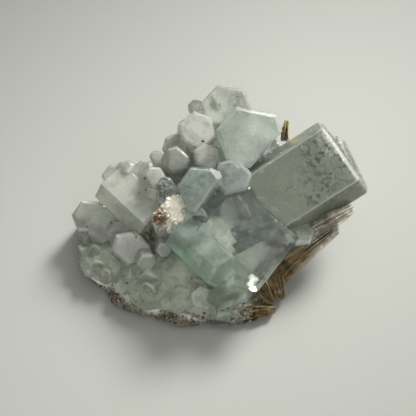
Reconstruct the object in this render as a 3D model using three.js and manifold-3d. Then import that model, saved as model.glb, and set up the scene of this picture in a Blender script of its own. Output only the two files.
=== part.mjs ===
// An aquamarine specimen: a crowd of pale blue-green beryl crystals, grown together into one mass,
// on a rough crust of albite, with books of brown muscovite mica down one side.
// Millimetres, +Z up. The specimen rests on the broken flat under its crust.
import * as THREE from "three";
import { mergeVertices } from "three/addons/utils/BufferGeometryUtils.js";
import Module from "manifold-3d";

const wasm = await Module();
wasm.setup();

// The crystals all grew from one broad front, which leans back from the vertical.
// Positions below are in that front's own axes: x to the right, y up the slope, z out of the slope.
const FRONT_LEAN = 35;
const FRONT_HEIGHT = 12;
const GAP = 0.35;
const CRYSTAL_FLOOR = 1.5;
const ROOM = 200;

const DEG = Math.PI / 180;
const PRISM_FACES = 6;
const MASS_ROUGHNESS = 0.03;
const CRUST_ROUGHNESS = 0.16;
const PRISM_TURN = 60 * DEG;
const FRONT = new THREE.Matrix4().makeRotationX(FRONT_LEAN * DEG).setPosition(0, 0, FRONT_HEIGHT);

// The outline of a beryl prism. Its neighbouring faces always meet at 120 degrees, and only their
// distances from the axis differ: face i looks along i times 60 degrees.
function prismOutline(distances) {
  const corners = distances.map((near, i) => {
    const next = distances[(i + 1) % PRISM_FACES];
    const a = i * PRISM_TURN;
    const b = a + PRISM_TURN;
    const s = Math.sin(PRISM_TURN);
    return new THREE.Vector2(
      (near * Math.sin(b) - next * Math.sin(a)) / s,
      (next * Math.cos(a) - near * Math.cos(b)) / s,
    );
  });
  return new THREE.Shape(corners);
}

// Turns a shape drawn round the z axis so that z lies along axis, and x as near as it can to facing.
function orient(axis, facing) {
  const z = new THREE.Vector3(...axis).normalize();
  const y = new THREE.Vector3().crossVectors(z, new THREE.Vector3(...facing)).normalize();
  const x = new THREE.Vector3().crossVectors(y, z);
  return new THREE.Matrix4().makeBasis(x, y, z);
}

function solid(geometry) {
  const bare = geometry.clone();
  bare.deleteAttribute("normal");
  bare.deleteAttribute("uv");
  const merged = mergeVertices(bare, 1e-4);
  return new wasm.Manifold(
    new wasm.Mesh({
      numProp: 3,
      vertProperties: merged.attributes.position.array,
      triVerts: new Uint32Array(merged.index.array),
    }),
  );
}

// A prism whose end is a flat basal face with a narrow bevel round it. at is the middle of that face.
function crystal({ at, axis, facing, faces, length, bevel = 0.5 }, grow = 0) {
  const distances = faces.map((d) => d + grow);
  const geometry = new THREE.ExtrudeGeometry(prismOutline(distances), {
    depth: length + 2 * grow - 2 * bevel,
    bevelThickness: bevel,
    bevelSize: bevel,
    bevelOffset: -bevel,
    bevelSegments: 1,
    steps: 1,
  });
  geometry.translate(0, 0, bevel - length - grow);
  geometry.applyMatrix4(orient(axis, facing));
  geometry.translate(...at);
  geometry.applyMatrix4(FRONT);
  return solid(geometry);
}

// The big clear block on the right, lying over to the upper right with one broad prism face up.
const RIGHT_CRYSTALS = [
  {
    at: [32.4, 11.6, 2.6], axis: [0.82, 0.53, 0.13], facing: [-0.2, 0.1, 0.97],
    faces: [5.5, 8.4, 8.2, 5.5, 9.4, 9.8], length: 28, bevel: 1.2,
  },
  {
    at: [33.9, 10.9, 2.1], axis: [0.82, 0.53, 0.13], facing: [-0.2, 0.1, 0.97],
    faces: [5, 6.6, 6.4, 4, 6.2, 6.4], length: 20, bevel: 0.9,
  },
  {
    at: [21.2, -5.2, 5], axis: [0.1, 0.3, 0.95], facing: [0.9, -0.4, 0],
    faces: [3.4, 3, 3, 3.4, 3, 3.2], length: 12, bevel: 0.5,
  },
];

// Four crystals at the top back: the milky block, the clear grey one behind it and two small ones.
const BACK_CRYSTALS = [
  {
    at: [9.5, 16.3, 4], axis: [0.06, 0.04, 0.99], facing: [0.946, 0.326, 0],
    faces: [7.9, 6.5, 7, 7, 7, 5.1], length: 17, bevel: 0.6,
  },
  {
    at: [5, 24.2, -2.2], axis: [0.2, 0.42, 0.88], facing: [0.9, 0.3, 0],
    faces: [5.4, 5.2, 5.8, 6, 5, 5], length: 17, bevel: 0.9,
  },
  {
    at: [14.6, 13.6, 2.2], axis: [0.2, 0.2, 0.95], facing: [0.8, -0.6, 0],
    faces: [3, 2.6, 2.8, 3, 2.8, 2.6], length: 14, bevel: 0.4,
  },
  {
    at: [-3.2, 24.4, -3.6], axis: [-0.3, 0.3, 0.9], facing: [0.9, 0.1, 0],
    faces: [1.9, 1.7, 1.8, 1.9, 1.8, 1.7], length: 12, bevel: 0.4,
  },
  {
    at: [-2.4, 18.3, 1], axis: [-0.15, -0.1, 0.98], facing: [0.9, 0.2, 0],
    faces: [4, 4.2, 4, 4.2, 4, 4.2], length: 14, bevel: 0.5,
  },
  {
    at: [-0.2, 12.3, 3.2], axis: [0.05, 0.2, 0.97], facing: [1, 0.1, 0],
    faces: [3.1, 2.8, 3, 3.3, 3, 3], length: 12, bevel: 0.35,
  },
];

// The knobs along the upper left, between the white crystal and the long prism.
const UPPER_LEFT_CRYSTALS = [
  {
    at: [-7.6, 11.5, 2.2], axis: [-0.1, 0.1, 0.98], facing: [0.97, -0.2, 0],
    faces: [3, 2.5, 2.8, 3, 2.8, 2.6], length: 14, bevel: 0.35,
  },
  {
    at: [-8, 15.1, -1], axis: [-0.25, 0.35, 0.9], facing: [0.95, -0.3, 0],
    faces: [3.3, 2.2, 2.6, 3, 3, 3], length: 14, bevel: 0.4,
  },
  {
    at: [-12.4, 12.2, 0], axis: [-0.35, 0.45, 0.8], facing: [0.8, -0.5, 0],
    faces: [1.8, 1.5, 1.6, 1.8, 1.6, 1.6], length: 12, bevel: 0.45,
  },
  {
    at: [-15.2, 9.4, 0.4], axis: [-0.3, 0.4, 0.85], facing: [0.9, 0.1, 0],
    faces: [2.4, 2.2, 2.2, 2.4, 2.4, 2], length: 12, bevel: 0.5,
  },
  {
    at: [-19.6, 9.6, 1.5], axis: [-0.4, 0.5, 0.75], facing: [0.7, 0.5, 0],
    faces: [2.2, 1.8, 2, 2.2, 2, 2], length: 12, bevel: 0.4,
  },
  {
    at: [-11.6, 7.2, 5], axis: [0.3, 0.5, 0.8], facing: [0.9, -0.4, 0],
    faces: [2.6, 2, 2.2, 2.6, 2.2, 2.2], length: 10, bevel: 0.3,
  },
  {
    at: [-12.4, 3.6, 6.6], axis: [0.5, 0.2, 0.8], facing: [0.5, -0.8, 0],
    faces: [1.7, 1.5, 1.6, 1.8, 1.6, 1.6], length: 9, bevel: 0.25,
  },
  {
    at: [-9.8, 5.6, 7.2], axis: [-0.2, 0.3, 0.9], facing: [0.9, 0.4, 0],
    faces: [1.9, 1.6, 1.6, 2, 1.7, 1.6], length: 9, bevel: 0.25,
  },
  {
    at: [-8.6, 3.2, 7.4], axis: [0.3, 0.1, 0.95], facing: [0.6, 0.7, 0],
    faces: [1.5, 1.6, 1.4, 1.6, 1.4, 1.5], length: 9, bevel: 0.25,
  },
];

// The long prism on the left lies down and to the right, like the front one.
const LEFT_CRYSTALS = [
  {
    at: [-12.6, -3, 1.8], axis: [0.72, -0.66, 0.2], facing: [-0.1, 0.2, 0.97],
    faces: [4, 4.8, 5, 4.4, 5.2, 5], length: 14, bevel: 0.9,
  },
  {
    at: [-22.4, 8.2, 1.4], axis: [-0.4, 0.4, 0.8], facing: [0.8, 0.4, 0],
    faces: [2.6, 2.4, 2.6, 2.8, 2.8, 2.4], length: 10, bevel: 0.6,
  },
  {
    at: [-28.2, -1.6, -0.6], axis: [-0.25, 0.1, 0.96], facing: [0.9, 0.4, 0],
    faces: [4, 3.9, 4, 4.1, 4, 3.8], length: 12, bevel: 1.1,
  },
  {
    at: [-24.2, -4, 0.6], axis: [-0.05, 0.1, 0.98], facing: [1, -0.1, 0],
    faces: [4, 3.8, 4, 4, 4, 4], length: 12, bevel: 0.8,
  },
  {
    at: [-26.4, -6.8, -0.4], axis: [-0.2, -0.3, 0.9], facing: [0.7, -0.6, 0],
    faces: [4, 3.6, 4, 3.8, 4, 4], length: 12, bevel: 0.9,
  },
  {
    at: [-20.2, -6.2, 2.6], axis: [0.05, -0.1, 0.98], facing: [0.9, 0.4, 0],
    faces: [3.2, 3, 3, 3.2, 3.2, 3], length: 12, bevel: 0.5,
  },
  {
    at: [-17.6, -9.4, 5], axis: [0.1, -0.2, 0.97], facing: [0.9, -0.3, 0],
    faces: [4.6, 3.8, 4, 4.4, 3.8, 4.2], length: 14, bevel: 0.6,
  },
  {
    at: [-13.7, -12.6, 7.4], axis: [0.25, -0.35, 0.9], facing: [0.8, 0.5, 0],
    faces: [2.3, 2.1, 2.1, 2.2, 2.2, 2.1], length: 12, bevel: 0.3,
  },
  {
    at: [-9.9, -9.6, 8], axis: [0.1, -0.3, 0.94], facing: [0.87, 0.5, 0],
    faces: [1.7, 1.75, 1.7, 1.7, 1.8, 1.7], length: 12, bevel: 0.2,
  },
];

// The big crystals of the middle: a broad basal face, a step beside it, and the front prism.
const MIDDLE_CRYSTALS = [
  {
    at: [6, -5.4, 10.6], axis: [0.12, 0.42, 0.9], facing: [0.87, 0.5, 0],
    faces: [8.8, 11.8, 11, 6.6, 11.4, 8.6], length: 21, bevel: 0.9,
  },
  {
    at: [15.4, -12.9, 9.2], axis: [0.75, -0.6, 0.2], facing: [0.1, 0.42, 0.9],
    faces: [5, 8.2, 7.6, 4.4, 7.6, 8.2], length: 18, bevel: 0.9,
  },
  {
    at: [5.4, 7.4, 8], axis: [0.1, 0.3, 0.95], facing: [0.9, -0.3, 0],
    faces: [4.2, 3.6, 4, 4, 4, 4], length: 14, bevel: 0.4,
  },
  {
    at: [-8.4, -2.6, 4.6], axis: [0, 0.1, 0.99], facing: [0.9, 0.4, 0],
    faces: [4.6, 4.2, 4.4, 4.6, 4.4, 4.2], length: 12, bevel: 0.4,
  },
  {
    at: [-1.4, 4.4, 11.4], axis: [-0.05, 0.25, 0.96], facing: [0.906, 0.42, 0],
    faces: [5.2, 4.8, 5.2, 5, 5.4, 2.2], length: 18, bevel: 0.3,
  },
  {
    at: [3.5, -13.9, 14.4], axis: [0.65, -0.57, 0.5], facing: [0, 0.66, 0.75],
    faces: [4, 4.3, 4, 4, 4, 4], length: 14.5, bevel: 0.5,
  },
  {
    at: [-3, -3.8, 9.2], axis: [0.1, 0.1, 0.98], facing: [0.9, -0.4, 0],
    faces: [4.6, 4, 4.4, 4.6, 4.4, 4.2], length: 14, bevel: 0.4,
  },
  {
    at: [5, -20.4, 7.4], axis: [0.3, -0.5, 0.8], facing: [0.8, 0.6, 0],
    faces: [6.4, 4.8, 4.8, 5, 4.4, 5.2], length: 14, bevel: 0.5,
  },
];

// The smooth glassy masses of the lower left, without faces of their own.
const MASSES = [
  { at: [-10, -12.6, 2.6], size: [12.4, 10, 6.6] },
  { at: [-21.6, -7.6, 2.4], size: [9.6, 8.4, 5.4] },
  { at: [-2.6, -15.4, 2.6], size: [9, 8.8, 5.6] },
];

// The clear piece at the foot.
const LOWER_CRYSTALS = [
  {
    at: [4.6, -27, 5.6], axis: [0.15, -0.45, 0.87], facing: [0.94, -0.3, 0],
    faces: [5, 3.4, 3.6, 4.4, 3, 3.4], length: 10, bevel: 0.6,
  },
];

const CRYSTALS = [
  ...RIGHT_CRYSTALS,
  ...BACK_CRYSTALS,
  ...UPPER_LEFT_CRYSTALS,
  ...LEFT_CRYSTALS,
  ...MIDDLE_CRYSTALS,
  ...LOWER_CRYSTALS,
];

function union(solids) {
  return solids.reduce((all, one) => all.add(one));
}

// Keeps what lies above the given height over the table.
function above(manifold, height) {
  const slab = new THREE.BoxGeometry(ROOM, ROOM, ROOM);
  slab.translate(0, 0, height + ROOM / 2);
  return manifold.intersect(solid(slab));
}

// Repeatable scatter for the rough parts.
function random(seed) {
  let state = seed;
  return () => {
    state = (state * 1664525 + 1013904223) % 4294967296;
    return state / 4294967296;
  };
}

// A rough lump: a ball of flat faces, its corners pushed in and out.
function lump([x, y, z], [rx, ry, rz], seed, roughness = CRUST_ROUGHNESS, detail = 2) {
  const ball = new THREE.IcosahedronGeometry(1, detail);
  ball.deleteAttribute("normal");
  ball.deleteAttribute("uv");
  const geometry = mergeVertices(ball, 1e-4);
  const chance = random(seed);
  const position = geometry.attributes.position;
  const corner = new THREE.Vector3();
  for (let i = 0; i < position.count; i += 1) {
    corner.fromBufferAttribute(position, i);
    corner.multiplyScalar(1 + roughness * (2 * chance() - 1));
    position.setXYZ(i, corner.x, corner.y, corner.z);
  }
  geometry.scale(rx, ry, rz);
  geometry.translate(x, y, z);
  return solid(geometry);
}

// The crust of albite, cut off flat underneath where it was broken from the rock.
const CRUST_LUMPS = [
  { at: [-21, -7.6, 1.4], size: [9.4, 8.2, 3] },
  { at: [-13.6, -13, 1.2], size: [10.4, 9.2, 2.8] },
  { at: [-5, -16.4, 1.2], size: [10, 8.8, 2.8] },
  { at: [5, -17, 1.6], size: [8, 7.6, 3] },
  { at: [-23, -0.6, 2.4], size: [6.4, 8, 4] },
  { at: [-14, 0, 3], size: [11, 11, 5] },
  { at: [2, -4, 4], size: [13, 12, 6] },
  { at: [-8, 11, 3.5], size: [10, 9, 5.5] },
  { at: [5, 13, 4.5], size: [10, 10, 7] },
  { at: [13, -3, 4], size: [7, 9, 5] },
  { at: [-18, 8, 2.6], size: [8, 7, 4.4] },
];

// Grains of the rosette, in the crystal front's axes.
const ROSETTE_GRAINS = [
  { at: [-7.4, 0.4, 6], size: [2.2, 2.2, 2.2] },
  { at: [-6.8, -2.2, 6.2], size: [2.2, 2, 2.2] },
  { at: [-8.8, -1.2, 6], size: [2.4, 2, 2] },
  { at: [-10.4, -2.6, 5.6], size: [2.2, 2, 2] },
  { at: [-8, -3.8, 6], size: [2, 1.6, 1.8] },
];

// One book of mica: sheets stacked along normal, each a worn six-sided leaf a little off the last.
// grow thickens the whole book, for cutting the pieces round it clear.
function book({ at, along, normal, size, sheets, seed, slip = 0.5 }, grow = 0) {
  const [length, width, thickness] = size;
  const chance = random(seed);
  const sheet = thickness / sheets;
  const leaves = [];
  for (let i = 0; i < sheets; i += 1) {
    const corners = [];
    for (let k = 0; k < PRISM_FACES; k += 1) {
      const turn = k * PRISM_TURN + 0.3 * (chance() - 0.5);
      const reach = 0.86 + 0.28 * chance();
      const x = (length / 2) * Math.cos(turn) * reach;
      const y = (width / 2) * Math.sin(turn) * reach;
      const out = 1 + grow / Math.hypot(x, y);
      corners.push(new THREE.Vector2(x * out, y * out));
    }
    const leaf = new THREE.ExtrudeGeometry(new THREE.Shape(corners), {
      depth: sheet * 1.06 + 2 * grow,
      bevelEnabled: false,
      steps: 1,
    });
    leaf.translate(slip * (chance() - 0.5), slip * (chance() - 0.5), i * sheet - thickness / 2 - grow);
    leaf.applyMatrix4(orient(normal, along));
    leaf.translate(...at);
    leaf.applyMatrix4(FRONT);
    leaves.push(solid(leaf));
  }
  return union(leaves);
}

const BOOKS = {
  muscovite_upper: {
    at: [28.8, -2.2, 3], along: [0.85, 0.5, 0.05], normal: [0.5, -0.85, 0.12],
    size: [10.5, 7, 2.4], sheets: 5, seed: 11,
  },
  muscovite_long: {
    at: [24.4, -9.1, 1.4], along: [0.79, 0.61, 0], normal: [0.61, -0.78, 0.1],
    size: [15.5, 7, 2.6], sheets: 5, seed: 12,
  },
  muscovite_lower: {
    at: [19.2, -12.8, 2.2], along: [0.76, 0.65, 0], normal: [0.65, -0.75, 0.1],
    size: [13, 7, 3.6], sheets: 6, seed: 13,
  },
  muscovite_fan_left: {
    at: [12.8, -18.6, 3.4], along: [0.62, -0.78, 0], normal: [0.78, 0.6, 0.15],
    size: [6.5, 6, 3], sheets: 5, seed: 14,
  },
  muscovite_fan_right: {
    at: [16, -17, 2], along: [0.3, -0.95, 0], normal: [0.95, 0.3, 0.1],
    size: [8.5, 6, 2.4], sheets: 5, seed: 15,
  },
  muscovite_foot: {
    at: [11.4, -23.8, 2.8], along: [0.98, 0.12, 0], normal: [-0.12, 0.98, 0.05],
    size: [8.6, 6, 3], sheets: 5, seed: 16,
  },
  muscovite_back: {
    at: [18.4, 18.2, -1], along: [0.1, 1, 0], normal: [0.98, -0.1, 0.2],
    size: [4.8, 5, 1.2], sheets: 3, seed: 17, slip: 0.3,
  },
};

// Splits a triangle list into its separate bodies.
function bodies(triangles, corners) {
  const parent = Array.from({ length: corners }, (_, i) => i);
  const root = (i) => {
    let r = i;
    while (parent[r] !== r) {
      parent[r] = parent[parent[r]];
      r = parent[r];
    }
    return r;
  };
  for (let i = 0; i < triangles.length; i += 3) {
    parent[root(triangles[i + 1])] = root(triangles[i]);
    parent[root(triangles[i + 2])] = root(triangles[i]);
  }
  const groups = new Map();
  for (let i = 0; i < triangles.length; i += 3) {
    const key = root(triangles[i]);
    if (!groups.has(key)) groups.set(key, []);
    groups.get(key).push(triangles[i], triangles[i + 1], triangles[i + 2]);
  }
  return [...groups.values()];
}

function volume(triangles, positions) {
  const [a, b, c] = [new THREE.Vector3(), new THREE.Vector3(), new THREE.Vector3()];
  let sum = 0;
  for (let i = 0; i < triangles.length; i += 3) {
    a.fromArray(positions, 3 * triangles[i]);
    b.fromArray(positions, 3 * triangles[i + 1]);
    c.fromArray(positions, 3 * triangles[i + 2]);
    sum += a.dot(b.cross(c)) / 6;
  }
  return sum;
}

// The main body of a cut shape. Chips that a cut leaves loose beside it are dropped.
function geometryOf(manifold) {
  const { vertProperties, triVerts } = manifold.getMesh();
  const positions = new Float32Array(vertProperties);
  const parts = bodies(triVerts, positions.length / 3);
  parts.sort((p, q) => volume(q, positions) - volume(p, positions));
  const geometry = new THREE.BufferGeometry();
  geometry.setAttribute("position", new THREE.BufferAttribute(positions, 3));
  geometry.setIndex(new THREE.BufferAttribute(new Uint32Array(parts[0]), 1));
  return geometry;
}

const finishes = {
  aquamarine: new THREE.MeshStandardMaterial({ color: 0xa9bdb6, roughness: 0.08, metalness: 0 }),
  albite: new THREE.MeshStandardMaterial({ color: 0xb9b3a2, roughness: 0.85, metalness: 0 }),
  rosette: new THREE.MeshStandardMaterial({ color: 0xe4dcc8, roughness: 0.8, metalness: 0 }),
  mica: new THREE.MeshStandardMaterial({ color: 0x6e5836, roughness: 0.35, metalness: 0.2 }),
};

const specimen = new THREE.Group();

function piece(name, manifold, material) {
  const mesh = new THREE.Mesh(geometryOf(manifold), material);
  mesh.name = name;
  specimen.add(mesh);
  return mesh;
}

// Every crystal and glassy mass in one body, swollen by grow.
function intergrowth(grow) {
  const prisms = CRYSTALS.map((c) => crystal(c, grow));
  const masses = MASSES.map(({ at, size }, i) => {
    const swollen = size.map((r) => r + grow);
    return lump(at, swollen, 70 + i, MASS_ROUGHNESS);
  });
  return above(union([...prisms, ...masses]), CRYSTAL_FLOOR - grow);
}

const cluster = intergrowth(0);
const clusterRoom = intergrowth(GAP);
piece("aquamarine_cluster", cluster, finishes.aquamarine);

let taken = clusterRoom;
for (const [name, shape] of Object.entries(BOOKS)) {
  piece(name, above(book(shape).subtract(taken), GAP), finishes.mica);
  taken = taken.add(book(shape, GAP));
}

// The sugary rosette sits in the hollow in the middle of the crystals.
const rosette = union(
  ROSETTE_GRAINS.map(({ at, size }, i) => {
    const [x, y, z] = new THREE.Vector3(...at).applyMatrix4(FRONT).toArray();
    return lump([x, y, z], size, 90 + i, CRUST_ROUGHNESS, 1);
  }),
);
piece("albite_rosette", rosette.subtract(taken), finishes.rosette);

const crust = union(CRUST_LUMPS.map(({ at, size }, i) => lump(at, size, 40 + i)));
piece("albite_matrix", above(crust, 0).subtract(taken), finishes.albite);

// The origin goes under the middle of the specimen.
const middle = new THREE.Box3().setFromObject(specimen).getCenter(new THREE.Vector3());
specimen.position.set(-middle.x, -middle.y, 0);

export default specimen;
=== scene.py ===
import math
import random

import bmesh
import bpy
from mathutils import Matrix, Vector, noise
from mathutils.bvhtree import BVHTree


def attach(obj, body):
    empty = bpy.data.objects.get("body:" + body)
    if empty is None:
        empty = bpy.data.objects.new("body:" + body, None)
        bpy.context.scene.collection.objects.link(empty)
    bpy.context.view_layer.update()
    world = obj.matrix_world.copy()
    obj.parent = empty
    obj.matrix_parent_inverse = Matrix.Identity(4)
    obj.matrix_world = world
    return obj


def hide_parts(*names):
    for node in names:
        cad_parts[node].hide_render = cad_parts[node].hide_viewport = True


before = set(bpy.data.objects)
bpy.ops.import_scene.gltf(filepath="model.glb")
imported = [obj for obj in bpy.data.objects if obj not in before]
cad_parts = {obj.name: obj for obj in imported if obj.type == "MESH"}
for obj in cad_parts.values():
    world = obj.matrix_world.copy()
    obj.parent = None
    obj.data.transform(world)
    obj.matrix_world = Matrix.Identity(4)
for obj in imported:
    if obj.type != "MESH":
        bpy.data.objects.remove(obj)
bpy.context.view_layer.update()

# The specimen lies on a pale sheet under one soft light from behind on the right, with a weak
# broad one from the viewer's side, and is seen from in front and above, 55 degrees up. The rest
# of the room is a dim grey.
MM = 0.001
LENS_MM = 70
VIEW_DISTANCE = 190
FRONT_LEAN = math.radians(35)
ORIGIN_SHIFT = Vector((-2.361, -1.837, 0))
FRONT_HEIGHT = 12

# All the crystals grew from one front that leans back. Their places are given in its axes, in
# millimetres: x to the right, y up its slope, z straight out of it towards the camera.
FRONT = (
    Matrix.Scale(MM, 4)
    @ Matrix.Translation(ORIGIN_SHIFT)
    @ Matrix.Translation((0, 0, FRONT_HEIGHT))
    @ Matrix.Rotation(FRONT_LEAN, 4, "X")
)

camera = bpy.data.objects.new("photo_view", bpy.data.cameras.new("photo_view"))
camera.data.lens = LENS_MM
camera.data.clip_start = 0.01
camera.location = FRONT @ Vector((0, 0, VIEW_DISTANCE))
camera.rotation_euler = (FRONT_LEAN, 0, 0)
bpy.context.collection.objects.link(camera)
bpy.context.scene.camera = camera
bpy.context.scene.view_settings.view_transform = "Standard"

cycles = bpy.context.scene.cycles
cycles.max_bounces = 32
cycles.transmission_bounces = 32
cycles.diffuse_bounces = 16
cycles.glossy_bounces = 16
cycles.sample_clamp_indirect = 6
cycles.blur_glossy = 0.5


def feed(tree, made, inputs):
    """Gives each input a plain value, or the socket of another node to read."""
    for key, value in inputs.items():
        if isinstance(value, bpy.types.NodeSocket):
            tree.links.new(value, made.inputs[key])
        else:
            made.inputs[key].default_value = value


def node(tree, kind, inputs=None, **settings):
    made = tree.nodes.new(kind)
    for name, value in settings.items():
        setattr(made, name, value)
    feed(tree, made, inputs or {})
    return made


def colour_by(tree, value, stops, smooth=True):
    """Colours looked up along a value from 0 to 1."""
    made = node(tree, "ShaderNodeValToRGB", {"Fac": value})
    made.color_ramp.interpolation = "EASE" if smooth else "LINEAR"
    elements = made.color_ramp.elements
    while len(elements) < len(stops):
        elements.new(0.5)
    for element, (position, colour) in zip(elements, stops):
        element.position = position
        element.color = (*colour, 1)
    return made.outputs["Color"]


LIGHT_SIDE = Vector((0.48, 0.56, 0.67)).normalized()
FILL_SIDE = Vector((0.2, -0.76, 0.62)).normalized()

room = bpy.data.worlds.new("soft_room")
room.use_nodes = True
direction = node(room.node_tree, "ShaderNodeTexCoord")
facing_light = node(room.node_tree, "ShaderNodeVectorMath", {
    0: direction.outputs["Generated"], 1: LIGHT_SIDE,
}, operation="DOT_PRODUCT")
glow = colour_by(room.node_tree, facing_light.outputs["Value"], [
    (0.0, (0.33, 0.33, 0.322)),
    (0.5, (0.48, 0.48, 0.472)),
    (0.8, (0.76, 0.765, 0.745)),
    (0.95, (1.4, 1.4, 1.36)),
])
feed(room.node_tree, room.node_tree.nodes["Background"], {"Color": glow})
bpy.context.scene.world = room


def lamp(name, kind, side, distance, **settings):
    """A lamp that shines on the specimen from a side, its distance in metres."""
    light = bpy.data.objects.new(name, bpy.data.lights.new(name, kind))
    for setting, value in settings.items():
        setattr(light.data, setting, value)
    light.location = side * distance
    light.rotation_euler = side.to_track_quat("Z", "Y").to_euler()
    bpy.context.collection.objects.link(light)


lamp(
    "window_light", "SPOT", LIGHT_SIDE, 0.5, energy=25, color=(1.0, 0.995, 0.965),
    shadow_soft_size=0.1, spot_size=math.radians(31), spot_blend=1.0,
)
lamp("fill_light", "AREA", FILL_SIDE, 0.55, energy=0.64, size=0.3)


def new_finish(name):
    finish = bpy.data.materials.new(name)
    finish.use_nodes = True
    tree = finish.node_tree
    return finish, tree, tree.nodes["Principled BSDF"]


TABLE_REACH = 2.0
table_mesh = bpy.data.meshes.new("table")
table_mesh.from_pydata(
    [(x * TABLE_REACH, y * TABLE_REACH, 0) for x, y in ((-1, -1), (1, -1), (1, 1), (-1, 1))],
    [], [(0, 1, 2, 3)],
)
table = bpy.data.objects.new("table", table_mesh)
bpy.context.collection.objects.link(table)
pale_sheet, tree, shader = new_finish("pale_sheet")
feed(tree, shader, {"Base Color": (0.3, 0.303, 0.28, 1), "Roughness": 0.75})
table_mesh.materials.append(pale_sheet)

# The crust under the crystals: sugary albite. It is white where the crystals cover it and stained
# grey and brown where it is bare, with small grains stuck to it, and it was broken off flat below.
CRUST_LUMPS = [
    ((-21, -7.6, 1.4), (9.4, 8.2, 3)),
    ((-13.6, -13, 1.2), (10.4, 9.2, 2.8)),
    ((-5, -16.4, 1.2), (10, 8.8, 2.8)),
    ((5, -17, 1.6), (8, 7.6, 3)),
    ((-23, -0.6, 2.4), (6.4, 8, 4)),
    ((-14, 0, 3), (11, 11, 5)),
    ((2, -4, 4), (13, 12, 6)),
    ((-8, 11, 3.5), (10, 9, 5.5)),
    ((5, 13, 4.5), (10, 10, 7)),
    ((13, -3, 4), (7, 9, 5)),
    ((-18, 8, 2.6), (8, 7, 4.4)),
]
CRUST_RELIEF = 0.225
CRUST_VOXEL = 0.42 * MM


def as_mesh(body, name):
    mesh = bpy.data.meshes.new(name)
    body.to_mesh(mesh)
    body.free()
    return mesh


def rough_ball(at, size, seed, relief, ripple, detail):
    """A ball pushed in and out by noise, in metres, before the origin shift of the specimen."""
    ball = bmesh.new()
    bmesh.ops.create_icosphere(ball, subdivisions=detail, radius=1)
    offset = Vector((seed * 7.3, seed * 3.1, seed * 5.7))
    for vertex in ball.verts:
        swell = 1 + relief * noise.fractal(vertex.co * ripple + offset, 0.7, 2.0, 4)
        place = Vector(at) + ORIGIN_SHIFT + Vector(c * s * swell for c, s in zip(vertex.co, size))
        vertex.co = place * MM
    return as_mesh(ball, "ball")


def place_piece(name, mesh):
    piece = bpy.data.objects.new(name, mesh)
    bpy.context.collection.objects.link(piece)
    return piece


def settled(piece):
    """The piece with its modifiers worked out, as a plain mesh."""
    before = piece.data
    depsgraph = bpy.context.evaluated_depsgraph_get()
    piece.data = bpy.data.meshes.new_from_object(piece.evaluated_get(depsgraph))
    piece.data.name = piece.name
    piece.modifiers.clear()
    bpy.data.meshes.remove(before)
    return piece


def fused(name, lumps, voxel):
    """Lumps that run into each other, as one closed piece with faces of an even size."""
    whole = bmesh.new()
    for lump in lumps:
        whole.from_mesh(lump)
        bpy.data.meshes.remove(lump)
    piece = place_piece(name, as_mesh(whole, name))
    fuse = piece.modifiers.new("fuse", "REMESH")
    fuse.mode = "VOXEL"
    fuse.voxel_size = voxel
    return settled(piece)


def depth_inside(tree, point):
    """How deep a point lies under the surface of a closed mesh; below zero outside it."""
    surface, normal, _, distance = tree.find_nearest(point)
    return -distance if (point - surface).dot(normal) > 0 else distance


depsgraph = bpy.context.evaluated_depsgraph_get()
cluster_surface = BVHTree.FromObject(bpy.data.objects["aquamarine_cluster"], depsgraph)

crust = fused("albite_crust", [
    rough_ball(at, size, i + 1, 0.1, 1.6, 5) for i, (at, size) in enumerate(CRUST_LUMPS)
], CRUST_VOXEL)
crust_mesh = crust.data
bare = crust_mesh.attributes.new("bare", "FLOAT", "POINT")
outward = [vertex.normal.copy() for vertex in crust_mesh.vertices]
for vertex, normal in zip(crust_mesh.vertices, outward):
    spot = vertex.co / MM
    relief = noise.fractal(spot * 0.5, 0.6, 2.1, 4) + 0.6 * noise.noise(spot * 1.9)
    vertex.co += normal * (CRUST_RELIEF * relief * MM)
    vertex.co.z = max(vertex.co.z, 0)
    cover = depth_inside(cluster_surface, vertex.co) / MM
    open_air = min(max(0.5 - 0.7 * cover, 0), 1)
    bare.data[vertex.index].value = open_air if vertex.co.z > 0.5 * MM else 0


def attribute(tree, name):
    return node(tree, "ShaderNodeAttribute", attribute_name=name).outputs["Fac"]


def object_noise(tree, scale, detail=4, roughness=0.55):
    place = node(tree, "ShaderNodeTexCoord")
    return node(tree, "ShaderNodeTexNoise", {
        "Vector": place.outputs["Object"], "Scale": scale, "Detail": detail, "Roughness": roughness,
    }).outputs["Fac"]


def mixed(tree, share, first, second, blend="MIX"):
    """Mixes two colours by a share; each is a socket or a plain value."""
    first, second = ((*c, 1) if isinstance(c, tuple) else c for c in (first, second))
    return node(
        tree, "ShaderNodeMix", {"Factor": share, 6: first, 7: second},
        data_type="RGBA", blend_type=blend,
    ).outputs[2]


def relief_of(tree, height, strength, distance):
    bump = node(tree, "ShaderNodeBump", {
        "Height": height, "Strength": strength, "Distance": distance,
    })
    feed(tree, tree.nodes["Principled BSDF"], {"Normal": bump.outputs["Normal"]})


crust_finish, tree, shader = new_finish("stained_albite")
sugar = colour_by(tree, object_noise(tree, 420), [
    (0.3, (0.78, 0.8, 0.73)), (0.7, (0.92, 0.93, 0.88)),
])
stain = colour_by(tree, object_noise(tree, 620, 6, 0.65), [
    (0.3, (0.05, 0.043, 0.026)), (0.42, (0.13, 0.115, 0.075)),
    (0.54, (0.19, 0.18, 0.135)), (0.68, (0.33, 0.32, 0.26)),
])
feed(tree, shader, {
    "Base Color": mixed(tree, attribute(tree, "bare"), sugar, stain), "Roughness": 0.72,
})
relief_of(tree, object_noise(tree, 1900, 5, 0.7), 0.7, 0.0004)
crust_mesh.materials.append(crust_finish)
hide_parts("albite_matrix")
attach(crust, "root")

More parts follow.
